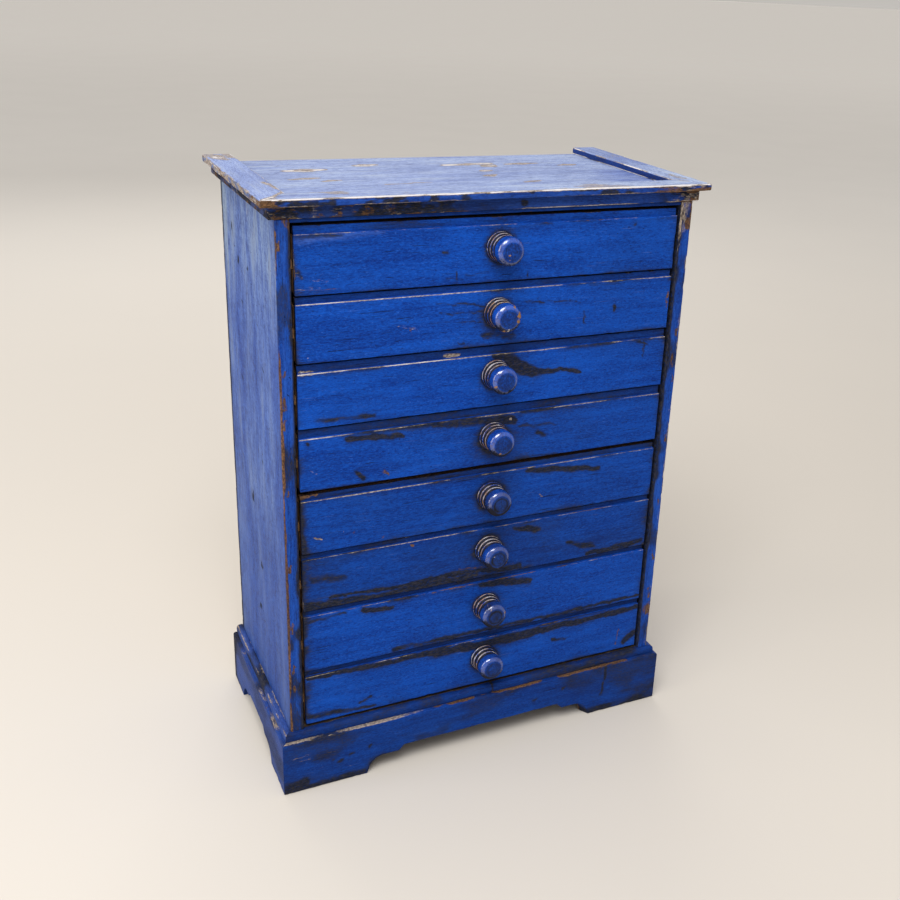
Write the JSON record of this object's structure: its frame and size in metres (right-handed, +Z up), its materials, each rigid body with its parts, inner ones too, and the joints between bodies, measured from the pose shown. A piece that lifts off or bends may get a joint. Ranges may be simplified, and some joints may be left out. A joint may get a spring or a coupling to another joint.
{
  "type": "bank of drawers",
  "caption": "Tabletop chest of shallow drawers in a painted wooden case, with turned knobs, a framed top and a plinth on bracket feet.",
  "frame": {"origin": "on the floor under the middle of the whole, knobs included", "axes": "+X to the right seen from the front, +Y to the back, +Z up; the drawers open towards -Y"},
  "size_m": [0.442, 0.253, 0.6],
  "materials": {
    "blue_paint": "worn cobalt paint on wood",
    "bare_wood": "unpainted aged softwood",
    "nail_iron": "rusted iron nails"
  },
  "bodies": {
    "case": {"side_left": "blue_paint", "side_right": "blue_paint", "top_board": "blue_paint", "top_rail": "blue_paint", "top_strip_front": "blue_paint", "top_strip_left": "blue_paint", "top_strip_right": "blue_paint", "base_moulding_front": "blue_paint", "base_moulding_left": "blue_paint", "base_moulding_right": "blue_paint", "plinth_front": "blue_paint", "plinth_left": "blue_paint", "plinth_right": "blue_paint", "bottom_board": "bare_wood", "back_panel": "bare_wood", "plinth_back": "bare_wood", "glue_blocks": "bare_wood", "runners_left": "bare_wood", "runners_right": "bare_wood", "back_nails": "nail_iron"},
    "drawer_1": {"drawer_1_front": "blue_paint", "drawer_1_knob": "blue_paint", "drawer_1_sides": "bare_wood", "drawer_1_back": "bare_wood", "drawer_1_bottom": "bare_wood"},
    "drawer_2": {"drawer_2_front": "blue_paint", "drawer_2_knob": "blue_paint", "drawer_2_sides": "bare_wood", "drawer_2_back": "bare_wood", "drawer_2_bottom": "bare_wood"},
    "drawer_3": {"drawer_3_front": "blue_paint", "drawer_3_knob": "blue_paint", "drawer_3_sides": "bare_wood", "drawer_3_back": "bare_wood", "drawer_3_bottom": "bare_wood"},
    "drawer_4": {"drawer_4_front": "blue_paint", "drawer_4_knob": "blue_paint", "drawer_4_sides": "bare_wood", "drawer_4_back": "bare_wood", "drawer_4_bottom": "bare_wood"},
    "drawer_5": {"drawer_5_front": "blue_paint", "drawer_5_knob": "blue_paint", "drawer_5_sides": "bare_wood", "drawer_5_back": "bare_wood", "drawer_5_bottom": "bare_wood"},
    "drawer_6": {"drawer_6_front": "blue_paint", "drawer_6_knob": "blue_paint", "drawer_6_sides": "bare_wood", "drawer_6_back": "bare_wood", "drawer_6_bottom": "bare_wood"},
    "drawer_7": {"drawer_7_front": "blue_paint", "drawer_7_knob": "blue_paint", "drawer_7_sides": "bare_wood", "drawer_7_back": "bare_wood", "drawer_7_bottom": "bare_wood"},
    "drawer_8": {"drawer_8_front": "blue_paint", "drawer_8_knob": "blue_paint", "drawer_8_sides": "bare_wood", "drawer_8_back": "bare_wood", "drawer_8_bottom": "bare_wood"}
  },
  "joints": [
    {"name": "drawer_1_slide", "type": "slide", "parent": "case", "child": "drawer_1", "axis": [0, -1, 0], "range_m": [0, 0.15]},
    {"name": "drawer_2_slide", "type": "slide", "parent": "case", "child": "drawer_2", "axis": [0, -1, 0], "range_m": [0, 0.15]},
    {"name": "drawer_3_slide", "type": "slide", "parent": "case", "child": "drawer_3", "axis": [0, -1, 0], "range_m": [0, 0.15]},
    {"name": "drawer_4_slide", "type": "slide", "parent": "case", "child": "drawer_4", "axis": [0, -1, 0], "range_m": [0, 0.15]},
    {"name": "drawer_5_slide", "type": "slide", "parent": "case", "child": "drawer_5", "axis": [0, -1, 0], "range_m": [0, 0.15]},
    {"name": "drawer_6_slide", "type": "slide", "parent": "case", "child": "drawer_6", "axis": [0, -1, 0], "range_m": [0, 0.15]},
    {"name": "drawer_7_slide", "type": "slide", "parent": "case", "child": "drawer_7", "axis": [0, -1, 0], "range_m": [0, 0.15]},
    {"name": "drawer_8_slide", "type": "slide", "parent": "case", "child": "drawer_8", "axis": [0, -1, 0], "range_m": [0, 0.15]}
  ]
}
